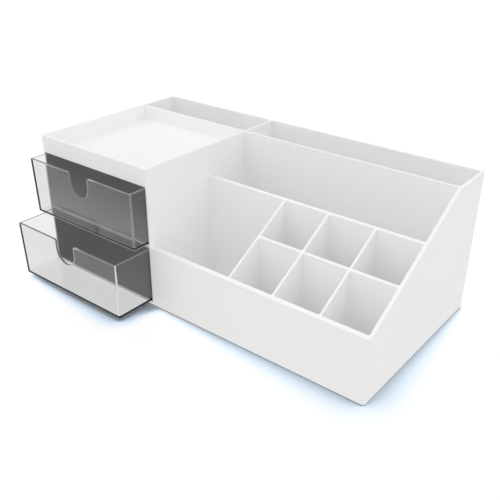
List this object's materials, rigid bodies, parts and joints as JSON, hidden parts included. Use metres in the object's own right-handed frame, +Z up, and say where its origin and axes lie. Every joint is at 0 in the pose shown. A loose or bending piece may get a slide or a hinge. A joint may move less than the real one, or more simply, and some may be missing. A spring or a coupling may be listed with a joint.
{
  "type": "desk organizer",
  "caption": "White moulded desk organizer with a top tray, standing slots, pen cells on a sloping front, and clear smoke drawers that pull out of the front.",
  "frame": {"origin": "centre of the body's footprint, on the surface that the feet stand on", "axes": "+X to the organizer's right, -Y out of its front, where the drawers pull out, +Z up"},
  "size_m": [0.34, 0.2055, 0.126],
  "materials": {
    "white_plastic": "satin moulded polystyrene",
    "clear_smoke_plastic": "polished see-through polystyrene, lightly smoked",
    "foot_foam": "closed-cell foam"
  },
  "bodies": {
    "housing": {"floor_plate": "white_plastic", "left_end_wall": "white_plastic", "right_end_wall": "white_plastic", "rear_wall": "white_plastic", "front_wall": "white_plastic", "rear_slot_divider": "white_plastic", "rear_slot_partition": "white_plastic", "bay_side_wall": "white_plastic", "bay_shelf": "white_plastic", "tray_floor": "white_plastic", "tray_front_rim": "white_plastic", "mid_divider": "white_plastic", "cell_partition_1": "white_plastic", "cell_partition_2": "white_plastic", "cell_partition_3": "white_plastic", "cross_divider_1": "white_plastic", "cross_divider_2": "white_plastic", "cross_divider_3": "white_plastic", "foot_front_left": "foot_foam", "foot_front_right": "foot_foam", "foot_rear_left": "foot_foam", "foot_rear_right": "foot_foam"},
    "upper_drawer": {"upper_drawer": "clear_smoke_plastic"},
    "lower_drawer": {"lower_drawer": "clear_smoke_plastic"}
  },
  "joints": [
    {"name": "upper_drawer_slide", "type": "slide", "parent": "housing", "child": "upper_drawer", "axis": [0, -1, 0], "range_m": [-0.016, 0.069]},
    {"name": "lower_drawer_slide", "type": "slide", "parent": "housing", "child": "lower_drawer", "axis": [0, -1, 0], "range_m": [-0.0375, 0.0475]}
  ]
}
